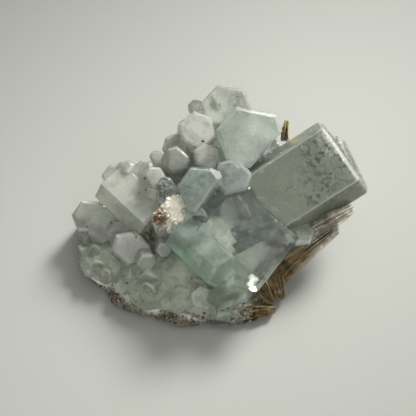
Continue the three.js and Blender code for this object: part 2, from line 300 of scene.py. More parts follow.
# The beryl crystals. Each is a six-sided prism with a flat end, worn along its edges and broken at
# some corners. Fine grooves run up the sides of most, and low growth steps stand on their ends.
# Crystals that grew together are one body.
PRISM_FACES = 6
PRISM_TURN = math.radians(60)
EDGE_WEAR = 0.2
WIDEST_WEAR = 0.12
EDGE_SPREAD = (0.45, 1.5)
SIDE_STRAY = (-0.07, 0.04)
END_SLOPE = 0.14
GROOVE_SPACING = 0.8
GROOVE_DEPTH = 0.04
GROOVE_SLOPE = 0.04
GROWTH_STEPS = 3
STEP_ROOT = 0.8
STEP_REACH = (0.25, 0.85)
STEP_HEIGHT = (0.04, 0.2)
BROKEN_CORNERS = 3
BREAK_LEAN = (15, 70)


def prism_corners(faces):
    """Corners of a prism whose side i stands faces[i] off its axis and looks 60 i degrees round."""
    corners = []
    for i, near in enumerate(faces):
        following = faces[(i + 1) % PRISM_FACES]
        a = i * PRISM_TURN
        b = a + PRISM_TURN
        corners.append(Vector((
            near * math.sin(b) - following * math.sin(a),
            following * math.cos(a) - near * math.cos(b),
        )) / math.sin(PRISM_TURN))
    return corners


def along(axis, facing):
    """Turns a prism drawn round z so that z lies along axis and x nearly along facing."""
    z = Vector(axis).normalized()
    y = z.cross(Vector(facing)).normalized()
    x = y.cross(z)
    return Matrix((x, y, z)).transposed().to_4x4()


def groove_plan(faces, depth, chance):
    """For each side, where along it the surface steps, and how deep it lies between the steps."""
    corners = prism_corners(faces)
    plan = []
    for i in range(PRISM_FACES):
        side = (corners[i] - corners[i - 1]).length
        count = max(3, round(side / GROOVE_SPACING))
        cuts = [(k + 0.6 * (chance.random() - 0.5)) / count for k in range(1, count)]
        depths = [0.0] + [depth * chance.random() for _ in range(count - 2)] + [0.0]
        plan.append((cuts, depths))
    return plan


def grooved_outline(faces, plan, share):
    """The outline with worn corners and a share of its grooves' depth."""
    corners = prism_corners(faces)
    points = []
    for i, (cuts, depths) in enumerate(plan):
        start = corners[i - 1]
        run = corners[i] - start
        inward = Vector((-math.cos(i * PRISM_TURN), -math.sin(i * PRISM_TURN)))
        wear = min(EDGE_WEAR / run.length, WIDEST_WEAR)
        slope = GROOVE_SLOPE / run.length
        points.append(start + run * wear)
        for cut, before, after in zip(cuts, depths, depths[1:]):
            points.append(start + run * (cut - slope) + inward * before * share)
            points.append(start + run * (cut + slope) + inward * after * share)
        points.append(start + run * (1 - wear))
    return points


def ring_mesh(rings):
    """A closed mesh through rings of equal count, with a flat face over the first and the last."""
    count = len(rings[0])
    vertices = [point for ring in rings for point in ring]
    polygons = [tuple(reversed(range(count)))]
    for r in range(len(rings) - 1):
        for i in range(count):
            a = r * count + i
            b = r * count + (i + 1) % count
            polygons.append((a, b, b + count, a + count))
    polygons.append(tuple(range((len(rings) - 1) * count, len(rings) * count)))
    mesh = bpy.data.meshes.new("growing")
    mesh.from_pydata(vertices, [], polygons)
    return mesh


def uneven(at, faces):
    """How a crystal differs from a true prism: how far its sides stand, and its end's slope."""
    chance = random.Random(repr(tuple(round(c, 2) for c in at)))
    faces = [d + chance.uniform(*SIDE_STRAY) * min(d, 5) for d in faces]
    return faces, Vector([chance.uniform(-END_SLOPE, END_SLOPE) for _ in range(2)])


def broken_corners(at, faces):
    """Planes, in a crystal's own axes, along which corners of its end broke off."""
    chance = random.Random(repr(tuple(round(c, 1) for c in at)))
    planes = []
    for corner in chance.sample(prism_corners(faces), BROKEN_CORNERS):
        lean = math.radians(chance.uniform(*BREAK_LEAN))
        outward = (corner.normalized() * math.cos(lean)).to_3d() + Vector((0, 0, math.sin(lean)))
        bite = chance.uniform(0.2, 0.3 + 0.16 * min(faces))
        planes.append((corner.to_3d() - outward * bite, outward))
    return planes


def broken(mesh, place, planes, depth=0):
    """The mesh cut along planes given in a crystal's own axes, each moved inwards by a depth."""
    body = bmesh.new()
    body.from_mesh(mesh)
    for spot, outward in planes:
        bmesh.ops.bisect_plane(
            body, geom=body.verts[:] + body.edges[:] + body.faces[:], clear_outer=True,
            plane_co=place @ (spot - outward * depth), plane_no=place.to_3x3() @ outward,
        )
        rim = [edge for edge in body.edges if edge.is_boundary]
        bmesh.ops.holes_fill(body, edges=rim, sides=0)
    body.to_mesh(mesh)
    body.free()
    return mesh


def crystal(
    at, axis, facing, faces, length, bevel, seed, grooves=GROOVE_DEPTH, steps=GROWTH_STEPS
):
    """One crystal and the growth steps on its end, each a closed mesh. at is the end's middle."""
    chance = random.Random(seed)
    faces, slope = uneven(at, faces)
    place = FRONT @ Matrix.Translation(at) @ along(axis, facing)
    plan = groove_plan(faces, grooves, chance)
    worn = [chance.uniform(*EDGE_SPREAD) for _ in faces]
    rings = []
    for height, inset, share in (
        (-length, 0, 1), (-bevel, 0, 1), (-0.35 * bevel, 0.4 * bevel, 0.5), (0, bevel, 0),
    ):
        ring = grooved_outline([d - inset * w for d, w in zip(faces, worn)], plan, share)
        rise = Vector((0, 0)) if height == -length else slope
        rings.append([place @ Vector((*point, height + rise.dot(point))) for point in ring])
    meshes = [ring_mesh(rings)]
    room_on_end = min(faces) - 1.5 * bevel
    for _ in range(steps):
        reach = chance.uniform(*STEP_REACH)
        height = chance.uniform(*STEP_HEIGHT)
        turn = chance.uniform(0, 2 * math.pi)
        shift = Vector((math.cos(turn), math.sin(turn)))
        shift *= room_on_end * (0.9 - reach) * chance.random()
        corners = prism_corners([
            (d - 1.5 * bevel) * reach * chance.uniform(0.7, 1.1) for d in faces
        ])
        step = []
        for z, shrink in ((-STEP_ROOT, 1.0), (0.5 * height, 1.0), (height, 0.97)):
            ring = [shift + corner * shrink for corner in corners]
            step.append([place @ Vector((*point, z + slope.dot(point))) for point in ring])
        meshes.append(ring_mesh(step))
    planes = broken_corners(at, faces)
    return [broken(mesh, place, planes) for mesh in meshes]


CRYSTAL_FLOOR = 1.5
ROCK_HEIGHT = 100
rock = bmesh.new()
bmesh.ops.create_cube(rock, size=1)
rock.transform(
    Matrix.Translation((0, 0, (CRYSTAL_FLOOR - ROCK_HEIGHT / 2) * MM))
    @ Matrix.Scale(ROCK_HEIGHT * MM, 4) @ Matrix.Diagonal((3, 3, 1, 1))
)
rock_below = place_piece("rock_below", as_mesh(rock, "rock_below"))


def discard(spent):
    mesh = spent.data
    bpy.data.objects.remove(spent)
    bpy.data.meshes.remove(mesh)


def grown_together(name, meshes):
    """Closed meshes that run into each other, as one closed body that ends at the crust's foot."""
    piece = place_piece(name, meshes[0])
    crowd = bpy.data.collections.new(name + "_crowd")
    bpy.context.scene.collection.children.link(crowd)
    others = [bpy.data.objects.new("growing", mesh) for mesh in meshes[1:]]
    for other in others:
        crowd.objects.link(other)
    if others:
        join = piece.modifiers.new("join", "BOOLEAN")
        join.operation = "UNION"
        join.operand_type = "COLLECTION"
        join.collection = crowd
        join.solver = "MANIFOLD"
    foot = piece.modifiers.new("foot", "BOOLEAN")
    foot.operation = "DIFFERENCE"
    foot.object = rock_below
    foot.solver = "MANIFOLD"
    settled(piece)
    for other in others:
        discard(other)
    bpy.data.collections.remove(crowd)
    return piece


BERYL_IOR = 1.575
GLASSY_BREAK = 0.0006


def beryl(name, tint, clearness, absorption, density, polish, frost, cloud_scale=240, waves=0.3):
    """Beryl: see-through and faintly coloured, its skin finely etched and frosted in patches."""
    finish, tree, shader = new_finish(name)
    shade = colour_by(tree, object_noise(tree, cloud_scale, 5, 0.6), [
        (0.35, tuple(0.97 * c for c in tint)), (0.65, tint),
    ])
    etched = node(tree, "ShaderNodeMapRange", {
        "Value": object_noise(tree, 330, 5, 0.65), "From Min": 0.4, "From Max": 0.66,
        "To Min": polish, "To Max": frost,
    })
    feed(tree, shader, {
        "Base Color": shade, "Roughness": etched.outputs["Result"],
        "IOR": BERYL_IOR, "Transmission Weight": clearness,
    })
    relief_of(tree, object_noise(tree, 700, 5, 0.6), waves, GLASSY_BREAK)
    body = node(tree, "ShaderNodeVolumeAbsorption", {"Color": (*absorption, 1), "Density": density})
    feed(tree, tree.nodes["Material Output"], {"Volume": body.outputs["Volume"]})
    return finish


def finish_crystals(body, finish):
    body.data.materials.clear()
    body.data.materials.append(finish)
    for polygon in body.data.polygons:
        polygon.use_smooth = False
    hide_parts("aquamarine_cluster")
    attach(body, "root")


# The largest crystal, on the right: a stout smoky green prism lying over, with its end to the
# right, and a smaller one grown along its lower side.
LYING = (0.82, 0.53, 0.13)
LYING_FACE = (-0.2, 0.1, 0.97)
RIGHT_CRYSTALS = [
    # middle of the end, axis, where side 0 faces, how far each side stands off, length, bevel
    ((32.4, 11.6, 2.6), LYING, LYING_FACE, (5.5, 8.4, 8.2, 5.5, 9.4, 9.8), 28, 1.2),
    ((33.9, 10.9, 2.1), LYING, LYING_FACE, (5, 6.6, 6.4, 4, 6.2, 6.4), 20, 0.9),
    ((21.2, -5.2, 5), (0.1, 0.3, 0.95), (0.9, -0.4, 0), (3.4, 3, 3, 3.4, 3, 3.2), 12, 0.5),
]
RIM = 0.35
# How strongly the rims of the clouded insides are whitened: a painted highlight along the crystal
# edges.
RIM_HIGHLIGHT_WHITENING = 0.7
CRACK_WIDTH = 0.018
CLOUD_IOR = 1.01
MILKY_BELOW = 0.5
MILKY_IOR = 1.2
BLACK = (0.0, 0.0, 0.0)
WHITE = (1.0, 1.0, 1.0)
# White of the cracks, and of the painted highlight on the rims.
CRACK_AND_HIGHLIGHT_WHITE = (1.0, 1.0, 0.98)


def inner_prism(at, axis, facing, faces, length, bevel, depth):
    """A plain prism a little way inside a crystal. Its rims are marked, to be whitened as a painted
    edge highlight.
    """
    faces, slope = uneven(at, faces)
    place = FRONT @ Matrix.Translation(at) @ along(axis, facing)
    rings = []
    for height, inset in ((-length, 0), (-bevel - depth, 0), (-depth, bevel)):
        corners = prism_corners([d - depth - inset for d in faces])
        rise = Vector((0, 0)) if height == -length else slope
        rings.append([place @ Vector((*point, height + rise.dot(point))) for point in corners])
    prism = bmesh.new()
    mesh = ring_mesh(rings)
    prism.from_mesh(mesh)
    prism.faces.ensure_lookup_table()
    outer = len(prism.verts)
    sides = prism.faces[1:1 + PRISM_FACES] + prism.faces[-1:]
    bmesh.ops.inset_individual(prism, faces=sides, thickness=RIM * MM, use_even_offset=True)
    # Marks the inset rims, which the finish whitens as a painted highlight along the crystal edges.
    worn = prism.verts.layers.float.new("worn")
    for i, vertex in enumerate(prism.verts):
        vertex[worn] = 1 if i < outer else 0
    prism.to_mesh(mesh)
    prism.free()
    return broken(mesh, place, broken_corners(at, faces), depth)


def near_place(tree, at, full, gone):
    """1 up to a distance from a place on the crystal front, falling to 0, in millimetres."""
    place = node(tree, "ShaderNodeTexCoord")
    distance = node(tree, "ShaderNodeVectorMath", {
        0: place.outputs["Object"], 1: FRONT @ Vector(at),
    }, operation="DISTANCE")
    return node(tree, "ShaderNodeMapRange", {
        "Value": distance.outputs["Value"], "From Min": gone * MM, "From Max": full * MM,
    }).outputs["Result"]


def product(tree, first, second):
    times = node(tree, "ShaderNodeMath", {0: first, 1: second}, operation="MULTIPLY")
    return times.outputs["Value"]


def lines_of(tree, scale, width):
    """Thin wandering lines, where a noise crosses its middle."""
    return colour_by(tree, object_noise(tree, scale, 3, 0.5), [
        (0.5 - width, BLACK), (0.5, WHITE), (0.5 + width, BLACK),
    ], smooth=False)


def cloud_finish(name, clearness, colour, window, cracks=0.75, mottles=()):
    """Clouded beryl: it lets part of the light through and holds clearer windows, white cracks and
    rims whitened as a painted edge highlight. Mottles are extra spots near a place."""
    finish, tree, shader = new_finish(name)
    milky = clearness < MILKY_BELOW
    cloud = colour_by(tree, object_noise(tree, 290, 7, 0.62), [
        (0.4, tuple(window * c for c in colour)),
        (0.48, tuple((window + 1) / 2 * c for c in colour)),
        (0.53, colour),
    ])
    cracked = product(tree, lines_of(tree, 400, CRACK_WIDTH), cracks)
    shown = mixed(tree, cracked, cloud, CRACK_AND_HIGHLIGHT_WHITE)
    for at, full, gone, scale, spot_colour in mottles:
        spots = colour_by(tree, object_noise(tree, scale, 5, 0.6), [(0.5, BLACK), (0.58, WHITE)])
        share = product(tree, near_place(tree, at, full, gone), spots)
        shown = mixed(tree, share, shown, spot_colour)
    # The rims are whitened: a painted highlight along the crystal edges.
    painted_rim_highlight = product(tree, attribute(tree, "worn"), RIM_HIGHLIGHT_WHITENING)
    feed(tree, shader, {
        "Base Color": mixed(tree, painted_rim_highlight, shown, CRACK_AND_HIGHLIGHT_WHITE), "Roughness": 1.0 if milky else 0.5,
        "IOR": MILKY_IOR if milky else CLOUD_IOR, "Transmission Weight": clearness,
    })
    relief_of(tree, object_noise(tree, 420, 5, 0.62), 0.4, 0.001)
    return finish


def clouded_heart(name, rows, depth, finish):
    """The clouded inside of milky crystals, which starts a little under their skin."""
    finish_crystals(grown_together(name, [
        inner_prism(*row[:5], min(row[5], 0.5), depth) for row in rows
    ]), finish)


def crystal_group(name, rows, seed, grooves=GROOVE_DEPTH):
    meshes = []
    for i, row in enumerate(rows):
        meshes += crystal(*row, seed=seed + i, grooves=grooves)
    return grown_together(name, meshes)


right = crystal_group("aquamarine_right", RIGHT_CRYSTALS, 10)
finish_crystals(right, beryl(
    "smoky_beryl", (0.97, 0.98, 0.96), 0.97, (0.45, 0.52, 0.42), 40, 0.14, 0.3,
))
clouded_heart("smoky_heart", RIGHT_CRYSTALS, 0.35, cloud_finish(
    "smoky_cloud", 0.35, (0.5, 0.54, 0.44), 0.88, 0.2, [
        ((29, 13, 6), 5, 11, 900, (0.13, 0.14, 0.1)),
        ((25, 4, 7), 2, 6, 800, (0.16, 0.17, 0.13)),
        ((26.5, 16.6, 6), 1.2, 3, 1100, (0.95, 0.97, 0.93)),
        ((27.8, 13.3, 6), 1.2, 3, 1100, (0.95, 0.97, 0.93)),
    ],
))

# The milky crystal at the back: a broad beryl prism seen end on, clear at its skin and clouded
# white inside, which grew up out of the crust behind the others.
MILKY_CRYSTAL = [
    ((9.5, 16.3, 4), (0.06, 0.04, 0.99), (0.946, 0.326, 0), (7.9, 6.5, 7, 7, 7, 5.1), 17, 0.6),
]
milky = crystal_group("aquamarine_milky", MILKY_CRYSTAL, 30)
finish_crystals(milky, beryl(
    "milky_beryl", (0.985, 0.995, 0.99), 0.95, (0.75, 0.9, 0.82), 6, 0.2, 0.4,
))

clouded_heart("milky_heart", MILKY_CRYSTAL, 0.3, cloud_finish(
    "milky_cloud", 0.55, (0.84, 0.92, 0.82), 0.75,
))

# The white crystals at the very back, fractured and frosted, with a small dark knob behind them.
BACK_CRYSTALS = [
    ((5, 24.2, -2.2), (0.1, 0.24, 0.96), (0.9, 0.3, 0), (5.4, 5.2, 5.8, 6, 5, 5), 12.4, 0.9),
    ((14.6, 13.6, 2.2), (0.2, 0.2, 0.95), (0.8, -0.6, 0), (3, 2.6, 2.8, 3, 2.8, 2.6), 14, 0.4),
    ((-3.2, 24.4, -3.6), (-0.3, 0.3, 0.9), (0.9, 0.1, 0), (1.9, 1.7, 1.8, 1.9, 1.8, 1.7), 12, 0.4),
    ((-2.4, 18.3, 1), (0.1, 0.3, 0.94), (0.9, 0.2, 0), (4, 4.2, 4, 4.2, 4, 4.2), 14, 0.5),
    ((-0.2, 12.3, 3.2), (0.05, 0.2, 0.97), (1, 0.1, 0), (3.1, 2.8, 3, 3.3, 3, 3), 12, 0.35),
]
back = crystal_group("aquamarine_back", BACK_CRYSTALS, 40)
finish_crystals(back, beryl(
    "frosted_beryl", (0.99, 0.995, 0.98), 0.97, (0.75, 0.88, 0.76), 5, 0.08, 0.36,
))

clouded_heart("cracked_heart", BACK_CRYSTALS[:1], 0.3, cloud_finish(
    "cracked_cloud", 0.65, (0.9, 0.93, 0.83), 0.3,
))
clouded_heart("frosted_heart", BACK_CRYSTALS[3:], 0.3, cloud_finish(
    "frosted_cloud", 0.55, (1.0, 1.0, 0.93), 0.7,
))

# The crystals in the middle, the clearest, with smooth sides: two large prisms side by side, a
# smaller one that stands proud in front of them, and the ones that fill in round their feet.
MIDDLE_CRYSTALS = [
    ((6, -5.4, 10.6), (0.12, 0.42, 0.9), (0.87, 0.5, 0), (8.8, 11.8, 11, 6.6, 11.4, 8.6), 21, 0.9),
    (
        (15.4, -12.9, 9.2), (0.75, -0.6, 0.2), (0.1, 0.42, 0.9),
        (5, 8.2, 7.6, 4.4, 7.6, 8.2), 18, 0.9,
    ),
    ((5.4, 7.4, 8), (0.1, 0.3, 0.95), (0.9, -0.3, 0), (4.2, 3.6, 4, 4, 4, 4), 14, 0.4),
    (
        (-1.4, 4.4, 11.4), (-0.05, 0.25, 0.96), (0.906, 0.42, 0),
        (5.2, 4.8, 5.2, 5, 5.4, 2.2), 18, 0.3,
    ),
    ((-3, -3.8, 9.2), (0.1, 0.1, 0.98), (0.9, -0.4, 0), (4.6, 4, 4.4, 4.6, 4.4, 4.2), 14, 0.4),
    ((5, -20.4, 7.4), (0.3, -0.5, 0.8), (0.8, 0.6, 0), (6.4, 4.8, 4.8, 5, 4.4, 5.2), 14, 0.5),
    ((4.6, -27, 5.6), (0.15, -0.45, 0.87), (0.94, -0.3, 0), (5, 3.4, 3.6, 4.4, 3, 3.4), 10, 0.6),
    ((3.5, -13.9, 14.4), (0.65, -0.57, 0.5), (0, 0.66, 0.75), (4, 4.3, 4, 4, 4, 4), 14.5, 0.5),
]
middle = crystal_group("aquamarine_middle", MIDDLE_CRYSTALS, 60, grooves=0.0)
finish_crystals(middle, beryl(
    "clear_beryl", (0.97, 0.985, 0.975), 1.0, (0.64, 0.74, 0.62), 36, 0.15, 0.24,
))

clouded_heart("middle_heart", MIDDLE_CRYSTALS[2:5], 0.3, cloud_finish(
    "middle_cloud", 0.55, (0.86, 0.96, 0.9), 0.6,
))
clouded_heart("window_heart", MIDDLE_CRYSTALS[5:], 0.25, cloud_finish(
    "window_cloud", 0.85, (0.88, 0.98, 0.92), 0.6,
))

# Dark panes inside them, painted shade: thin dark slabs a few millimetres under the crystals' skin,
# put where an inner wall of the crystals throws the light away and they look dark.
PANE_FACING = (0.12, 0.42, 0.9)
PAINTED_SHADE_PANES = [
    # middle, long way, length width thickness
    ((0.6, 0.2, 7.4), (0.57, 0.82, 0), (8.6, 3.2, 0.3)),
    ((10.2, -4.4, 7.4), (0.85, 0.53, 0), (11, 3.2, 0.3)),
    ((9.6, -8, 8), (0.85, 0.53, 0), (9, 2.4, 0.3)),
    ((4.6, 3.6, 5), (0.5, 0.86, 0), (4, 2.4, 0.3)),
]
panes = bmesh.new()
for at, long_way, sizes in PAINTED_SHADE_PANES:
    place = FRONT @ Matrix.Translation(at) @ along(PANE_FACING, long_way)
    bmesh.ops.create_cube(panes, size=1, matrix=place @ Matrix.Diagonal((*sizes, 1)))
# The panes' dark greens are painted shade inside the clear crystals.
dark_pane, tree, shader = new_finish("dark_pane")
painted_shade_tones = colour_by(tree, object_noise(tree, 600, 5, 0.6), [
    (0.35, (0.05, 0.08, 0.065)), (0.6, (0.14, 0.19, 0.16)),
])
feed(tree, shader, {
    "Base Color": painted_shade_tones, "Roughness": 0.5, "IOR": CLOUD_IOR, "Transmission Weight": 0.35,
})
finish_crystals(place_piece("dark_panes", as_mesh(panes, "dark_panes")), dark_pane)

# The small crystals up the left edge: a crowd of short pale beryl prisms, grown side by side and
# into each other, with a larger one that lies across them.
UPPER_LEFT_CRYSTALS = [
    ((-7.6, 11.5, 2.2), (-0.1, 0.1, 0.98), (0.97, -0.2, 0), (3, 2.5, 2.8, 3, 2.8, 2.6), 14, 0.35),
    ((-8, 15.1, -1), (-0.25, 0.35, 0.9), (0.95, -0.3, 0), (3.3, 2.2, 2.6, 3, 3, 3), 14, 0.4),
    (
        (-12.4, 12.2, 0), (-0.35, 0.45, 0.8), (0.8, -0.5, 0),
        (1.8, 1.5, 1.6, 1.8, 1.6, 1.6), 12, 0.45,
    ),
    ((-15.2, 9.4, 0.4), (-0.3, 0.4, 0.85), (0.9, 0.1, 0), (2.4, 2.2, 2.2, 2.4, 2.4, 2), 12, 0.5),
    ((-19.6, 9.6, 1.5), (-0.4, 0.5, 0.75), (0.7, 0.5, 0), (2.2, 1.8, 2, 2.2, 2, 2), 12, 0.4),
    ((-11.6, 7.2, 5), (0.45, 0.15, 0.85), (0.9, -0.4, 0), (2.6, 2, 2.2, 2.6, 2.2, 2.2), 10, 0.3),
    ((-12.4, 3.6, 6.6), (0.5, 0.2, 0.8), (0.5, -0.8, 0), (1.7, 1.5, 1.6, 1.8, 1.6, 1.6), 9, 0.25),
    ((-9.8, 5.6, 7.2), (-0.2, 0.3, 0.9), (0.9, 0.4, 0), (1.9, 1.6, 1.6, 2, 1.7, 1.6), 9, 0.25),
    ((-8.6, 3.2, 7.4), (0.3, 0.1, 0.95), (0.6, 0.7, 0), (1.5, 1.6, 1.4, 1.6, 1.4, 1.5), 9, 0.25),
]
LEFT_CRYSTALS = [
    ((-12.6, -3, 1.8), (0.72, -0.66, 0.2), (0.08, 0.36, 0.93), (4, 4.8, 5, 4.4, 5.2, 5), 14, 0.9),
    ((-22.4, 8.2, 1.4), (-0.4, 0.4, 0.8), (0.8, 0.4, 0), (2.6, 2.4, 2.6, 2.8, 2.8, 2.4), 10, 0.6),
    ((-28.2, -1.6, -0.6), (-0.05, 0.3, 0.94), (0.9, 0.4, 0), (4, 3.9, 4, 4.1, 4, 3.8), 12, 1.1),
    ((-24.2, -4, 0.6), (-0.05, 0.1, 0.98), (1, -0.1, 0), (4, 3.8, 4, 4, 4, 4), 12, 0.8),
    ((-26.4, -6.8, -0.4), (-0.2, -0.3, 0.9), (0.7, -0.6, 0), (4, 3.6, 4, 3.8, 4, 4), 12, 0.9),
    ((-20.2, -6.2, 2.6), (0.05, -0.1, 0.98), (0.9, 0.4, 0), (3.2, 3, 3, 3.2, 3.2, 3), 12, 0.5),
    ((-17.6, -9.4, 5), (0.1, -0.2, 0.97), (0.9, -0.3, 0), (4.6, 3.8, 4, 4.4, 3.8, 4.2), 14, 0.6),
    (
        (-13.7, -12.6, 7.4), (0.25, -0.35, 0.9), (0.8, 0.5, 0),
        (2.3, 2.1, 2.1, 2.2, 2.2, 2.1), 12, 0.3,
    ),
    ((-9.9, -9.6, 8), (0.1, -0.3, 0.94), (0.87, 0.5, 0), (1.7, 1.75, 1.7, 1.7, 1.8, 1.7), 12, 0.2),
    ((-8.4, -2.6, 4.6), (0, 0.1, 0.99), (0.9, 0.4, 0), (4.6, 4.2, 4.4, 4.6, 4.4, 4.2), 12, 0.4),
]
upper_left = crystal_group("aquamarine_upper_left", UPPER_LEFT_CRYSTALS, 80)
left = crystal_group("aquamarine_left", LEFT_CRYSTALS, 100)
pale_beryl = beryl("pale_beryl", (0.99, 0.995, 0.98), 0.97, (0.75, 0.86, 0.74), 5, 0.06, 0.32)
finish_crystals(upper_left, pale_beryl)
finish_crystals(left, pale_beryl)
clouded_heart("left_heart", LEFT_CRYSTALS, 0.25, cloud_finish(
    "left_cloud", 0.52, (0.98, 1.0, 0.91), 0.8,
))
clouded_heart("upper_left_heart", UPPER_LEFT_CRYSTALS[:6], 0.25, cloud_finish(
    "upper_left_cloud", 0.54, (0.97, 1.0, 0.9), 0.7,
))

# The lower mass: beryl with no free room, grown as lumps that broke along curved faces. The ends
# of small prisms stand a little way out of them.
MASSES = [
    ((-10, -12.6, 2.6), (12.4, 10, 6.6)),
    ((-21.6, -7.6, 2.4), (9.6, 8.4, 5.4)),
    ((-2.6, -15.4, 2.6), (9, 8.8, 5.6)),
]
BREAKS = 34
LUMP_FLOOR = 0.4
BLOCKS = 22
BLOCK_LENGTH = 4
HEART_DEPTH = 0.3


def broken_lump(at, size, seed):
    """A lump cut by many flat breaks that leave shallow facets."""
    mesh = rough_ball((0, 0, 0), (1, 1, 1), seed, 0.05, 2.2, 5)
    chance = random.Random(seed)
    breaks = []
    for _ in range(BREAKS):
        normal = Vector(chance.gauss(0, 1) for _ in range(3)).normalized()
        breaks.append((normal, chance.uniform(0.84, 0.97)))
    for vertex in mesh.vertices:
        spot = vertex.co / MM - ORIGIN_SHIFT
        for normal, reach in breaks:
            beyond = spot.dot(normal) - reach
            if beyond > 0:
                spot -= normal * beyond
        spot = Vector(at) + ORIGIN_SHIFT + Vector(c * s for c, s in zip(spot, size))
        spot.z = max(spot.z, LUMP_FLOOR)
        vertex.co = spot * MM
    return mesh


def standing_blocks(at, size, seed):
    """Small prisms that barely stand out of a lump, side by side, all grown nearly one way."""
    chance = random.Random(seed)
    blocks = []
    while len(blocks) < BLOCKS:
        out = Vector((chance.gauss(0, 1), chance.gauss(-0.5, 1), chance.gauss(0.9, 1))).normalized()
        radius = chance.uniform(1.2, 3)
        axis = Vector((chance.gauss(0, 0.35), chance.gauss(-0.3, 0.35), 1))
        stand = chance.uniform(0, 0.5)
        if out.z < 0.3:
            continue
        spot = Vector(at) + ORIGIN_SHIFT + Vector(c * s for c, s in zip(out, size))
        end = FRONT.inverted() @ (spot * MM) + axis.normalized() * stand
        faces = [radius * chance.uniform(0.45, 1.1) for _ in range(PRISM_FACES)]
        blocks.append(
            (end, axis, (1, 0.2, 0), faces, BLOCK_LENGTH, 0.2, len(blocks) + seed, 0.03, 1)
        )
    return blocks


blocks = []
for i, (at, size) in enumerate(MASSES):
    blocks += standing_blocks(at, size, 500 + 50 * i)
lower = grown_together("aquamarine_lower", [
    broken_lump(at, size, 140 + i) for i, (at, size) in enumerate(MASSES)
] + [mesh for block in blocks for mesh in crystal(*block)])
finish_crystals(grown_together("lower_heart", [
    broken_lump(at, [s - HEART_DEPTH for s in size], 140 + i)
    for i, (at, size) in enumerate(MASSES)
] + [inner_prism(*block[:6], 0.2) for block in blocks]), cloud_finish(
    "lower_cloud", 0.7, (0.92, 0.97, 0.82), 0.5,
))
finish_crystals(lower, beryl(
    "massive_beryl", (0.96, 0.975, 0.94), 0.93, (0.66, 0.8, 0.64), 16, 0.12, 0.36, 200, 0.35,
))
discard(rock_below)

# Veils in the crystals: healed cracks, sheets of tiny white plates that cloud the milky and white
# crystals, and a few dark ones in the large smoky crystal.
VEIL_CELLS = 26
VEIL_COVER = 0.3
VEIL_LEAN = (0.3, 1, 0.2)
WHITE_SEED = 1
DARK_SEED = 41
WHITE_VEILS = [
    # middle, facing, width and height, in the axes of the crystal front, millimetres
    ((12.4, 14.4, 1.6), (0.5, 0.1, 0.85), (8, 10)),
    ((9.6, 12.2, 0.6), (0.1, -0.5, 0.85), (11, 7)),
    ((7.2, 18.2, 0.4), (-0.6, 0.3, 0.7), (8, 8)),
    ((13.6, 17.4, 0.8), (0.9, 0.2, 0.3), (8, 9)),
    ((6.4, 22, -4.6), (0.2, 0.4, 0.9), (8, 7)),
    ((3, 21.6, -5), (-0.4, 0.3, 0.8), (8, 7)),
    ((7.8, 21.4, -5.4), (0.7, 0.1, 0.7), (6, 7)),
    ((-2.6, 18, -1), (-0.1, 0.1, 1), (8, 8)),
    ((-3.4, 16.8, -2.2), (-0.3, -0.4, 0.8), (8, 7)),
    ((-1, 13.2, 1.2), (0.3, 0.3, 0.9), (6, 6)),
    ((-15.4, 1.4, 0.4), (-0.2, 0.5, 0.8), (10, 6)),
    ((-13.4, -1, -0.4), (0.5, -0.4, 0.7), (8, 8)),
    ((-17.4, 4.4, 0.8), (-0.5, 0.7, 0.5), (8, 6)),
    ((-27.4, -2, -3), (-0.3, 0.2, 0.9), (7, 7)),
    ((-24.6, -5, -2), (0.2, -0.2, 0.9), (8, 7)),
    ((-18, -9.6, 2.6), (0.2, -0.4, 0.9), (8, 8)),
    ((-13, -12.2, 4.6), (0.4, -0.5, 0.7), (5, 5)),
    ((1.6, -8.6, 8.4), (-0.6, -0.3, 0.7), (7, 8)),
    ((10.6, -10.6, 6), (0.6, -0.6, 0.5), (10, 6)),
    ((3.6, -14.4, 10.6), (0.6, 0.3, 0.7), (6, 6)),
    ((8.6, -16.4, 4.4), (0.3, -0.7, 0.6), (9, 6)),
    ((-1.6, 3.4, 7), (0.1, -0.5, 0.8), (8, 8)),
    ((24.6, 10.6, 3.6), (0.5, 0.2, 0.8), (5, 3.6)),
    ((26.6, 8, 3.8), (-0.3, 0.4, 0.8), (4, 4)),
    ((-14, -17, -4), (0.1, -0.3, 0.9), (12, 8)),
    ((-6, -19, -3), (-0.2, -0.5, 0.8), (10, 8)),
    ((-12.6, 9.6, 1), (0.2, 0.5, 0.8), (9, 7)),
    ((-9.6, 6.2, 4.6), (-0.3, 0.4, 0.8), (6, 6)),
]
DARK_VEILS = [
    ((21.8, 12.6, 6), (0.2, 0.2, 0.95), (5, 3)),
    ((23.6, 9.4, 5.6), (-0.2, 0.3, 0.9), (3.4, 3)),
    ((29.4, 8.2, 4.4), (0.3, 0.2, 0.9), (3.6, 4)),
    ((24.4, 5, 5), (0.4, -0.5, 0.8), (5, 1.8)),
    ((18.6, 4.6, 5.4), (0.4, -0.6, 0.7), (5, 1.2)),
    ((25.4, 13, 4.6), (0.1, 0.4, 0.9), (4, 3)),
    ((30.6, 4.4, 3.8), (0.1, -0.4, 0.9), (5, 3)),
]


